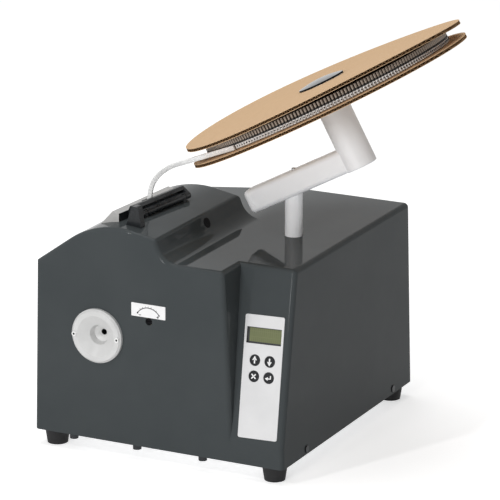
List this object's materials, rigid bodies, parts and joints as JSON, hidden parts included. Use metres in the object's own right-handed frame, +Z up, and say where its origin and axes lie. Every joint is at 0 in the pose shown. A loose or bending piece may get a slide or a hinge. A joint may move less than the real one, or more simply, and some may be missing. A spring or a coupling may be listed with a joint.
{
  "type": "wire ferrule crimping machine",
  "caption": "Benchtop machine that strips a wire end and crimps a ferrule on it, with a dark casing and a tilted card reel of strip ferrules on an arm above it.",
  "frame": {"origin": "middle of the whole machine's underside, reel included, on the table", "axes": "+X to the right as seen by the operator, +Y to the back, +Z up; the wire goes in along +Y"},
  "size_m": [0.3912, 0.319, 0.4418],
  "materials": {
    "casing_plastic": "glossy dark grey moulded plastic",
    "zinc_steel": "zinc plated steel",
    "black_steel": "blackened steel",
    "rubber": "matt black rubber",
    "funnel_plastic": "satin mid grey plastic",
    "cover_plastic": "satin pale grey plastic",
    "label_white": "white printed label",
    "foil_white": "pale printed foil",
    "display_green": "clear lens over a green display",
    "circuit_green": "lacquered circuit board",
    "key_dark": "satin dark plastic",
    "black_plastic": "black moulded plastic",
    "silver_paint": "pale silver paint",
    "aluminium": "bare aluminium",
    "card": "brown corrugated board",
    "strip_plastic": "white plastic carrier strip",
    "tool_steel": "ground tool steel",
    "brass": "turned brass",
    "motor_metal": "dark painted motor can"
  },
  "bodies": {
    "base": {"casing": "casing_plastic", "base_plate": "zinc_steel", "rubber_feet": "rubber", "foot_screws": "zinc_steel", "base_screws": "black_steel", "side_screws": "black_steel", "entry_funnel": "funnel_plastic", "funnel_screws": "zinc_steel", "scale_plate": "label_white", "adjust_bush": "brass", "control_panel": "foil_white", "display_window": "display_green", "display_module": "circuit_green", "keypad_board": "circuit_green", "feed_guide": "cover_plastic", "flap_hinge": "black_plastic", "feed_end_stop": "black_plastic", "wall_plug": "black_plastic", "post_socket": "aluminium", "reel_post": "silver_paint", "swing_arm": "silver_paint", "clamp_screw": "zinc_steel", "spindle_housing": "silver_paint", "reel_spindle": "tool_steel", "ferrule_strip": "strip_plastic", "tool_back_plate": "aluminium", "lower_shelf": "aluminium", "upper_shelf": "aluminium", "guide_rods": "tool_steel", "spindle_bushes": "brass", "gear_motor": "motor_metal", "feed_plate": "aluminium", "feed_motor": "motor_metal", "main_board": "circuit_green", "board_spacers": "brass", "power_supply": "motor_metal", "mains_inlet": "black_plastic", "switch_housing": "black_plastic"},
    "reel": {"reel_hub": "aluminium", "hub_cap": "tool_steel", "reel_core": "card", "lower_flange": "card", "upper_flange": "card", "wound_strip": "strip_plastic", "outer_turn": "strip_plastic"},
    "flap": {"feed_flap": "black_plastic"},
    "key_up_body": {"key_up": "key_dark"},
    "key_down_body": {"key_down": "key_dark"},
    "key_clear_body": {"key_clear": "key_dark"},
    "key_enter_body": {"key_enter": "key_dark"},
    "adjuster": {"adjust_screw": "key_dark"},
    "rocker": {"power_rocker": "black_plastic"},
    "drive_screw": {"crimp_screw": "tool_steel", "screw_gear": "tool_steel"},
    "pinion": {"motor_pinion": "tool_steel"},
    "upper_jaw": {"jaw_upper": "tool_steel", "blade_upper": "tool_steel"},
    "lower_jaw": {"jaw_lower": "tool_steel", "blade_lower": "tool_steel"},
    "strip_wheel": {"feed_wheel": "tool_steel"}
  },
  "joints": [
    {"name": "reel_spin", "type": "hinge", "parent": "base", "child": "reel", "pos_m": [0.0632, -0.00216, 0.3533], "axis": [-0.4642, -0.0455, 0.8846], "continuous": true},
    {"name": "flap_swing", "type": "hinge", "parent": "base", "child": "flap", "pos_m": [-0.08957, -0.07504, 0.2441], "axis": [0.1132, 0.9936, 0], "range_deg": [0, 60]},
    {"name": "key_up_press", "type": "slide", "parent": "base", "child": "key_up_body", "axis": [0, 0.9756, -0.2194], "range_m": [0, 0.0007], "stiffness_N_per_m": 600},
    {"name": "key_down_press", "type": "slide", "parent": "base", "child": "key_down_body", "axis": [0, 0.9756, -0.2194], "range_m": [0, 0.0007], "stiffness_N_per_m": 600},
    {"name": "key_clear_press", "type": "slide", "parent": "base", "child": "key_clear_body", "axis": [0, 0.9756, -0.2194], "range_m": [0, 0.0007], "stiffness_N_per_m": 600},
    {"name": "key_enter_press", "type": "slide", "parent": "base", "child": "key_enter_body", "axis": [0, 0.9756, -0.2194], "range_m": [0, 0.0007], "stiffness_N_per_m": 600},
    {"name": "adjust_turn", "type": "hinge", "parent": "base", "child": "adjuster", "pos_m": [-0.06257, -0.15314, 0.149], "axis": [0, -1, 0], "range_deg": [-75, 75]},
    {"name": "power_tip", "type": "hinge", "parent": "base", "child": "rocker", "pos_m": [-0.02277, 0.15186, 0.0645], "axis": [-1, 0, 0], "range_deg": [0, 18]},
    {"name": "crimp_turn", "type": "hinge", "parent": "base", "child": "drive_screw", "pos_m": [-0.09477, -0.10714, 0.1925], "axis": [0, 0, 1], "range_deg": [0, 720]},
    {"name": "motor_turn", "type": "hinge", "parent": "base", "child": "pinion", "pos_m": [-0.05877, -0.10714, 0.1925], "axis": [0, 0, 1], "range_deg": [-2520, 0]},
    {"name": "upper_jaw_close", "type": "slide", "parent": "base", "child": "upper_jaw", "axis": [0, 0, -1], "range_m": [0, 0.01]},
    {"name": "lower_jaw_close", "type": "slide", "parent": "base", "child": "lower_jaw", "axis": [0, 0, 1], "range_m": [0, 0.01]},
    {"name": "strip_wheel_turn", "type": "hinge", "parent": "base", "child": "strip_wheel", "pos_m": [-0.09037, -0.07334, 0.2195], "axis": [0, 1, 0], "continuous": true}
  ],
  "couplings": [
    {"joint": "lower_jaw_close", "follows": "upper_jaw_close", "ratio": 1},
    {"joint": "crimp_turn", "follows": "upper_jaw_close", "rad_per_m": 1256.6},
    {"joint": "motor_turn", "follows": "upper_jaw_close", "rad_per_m": -4398.2}
  ]
}
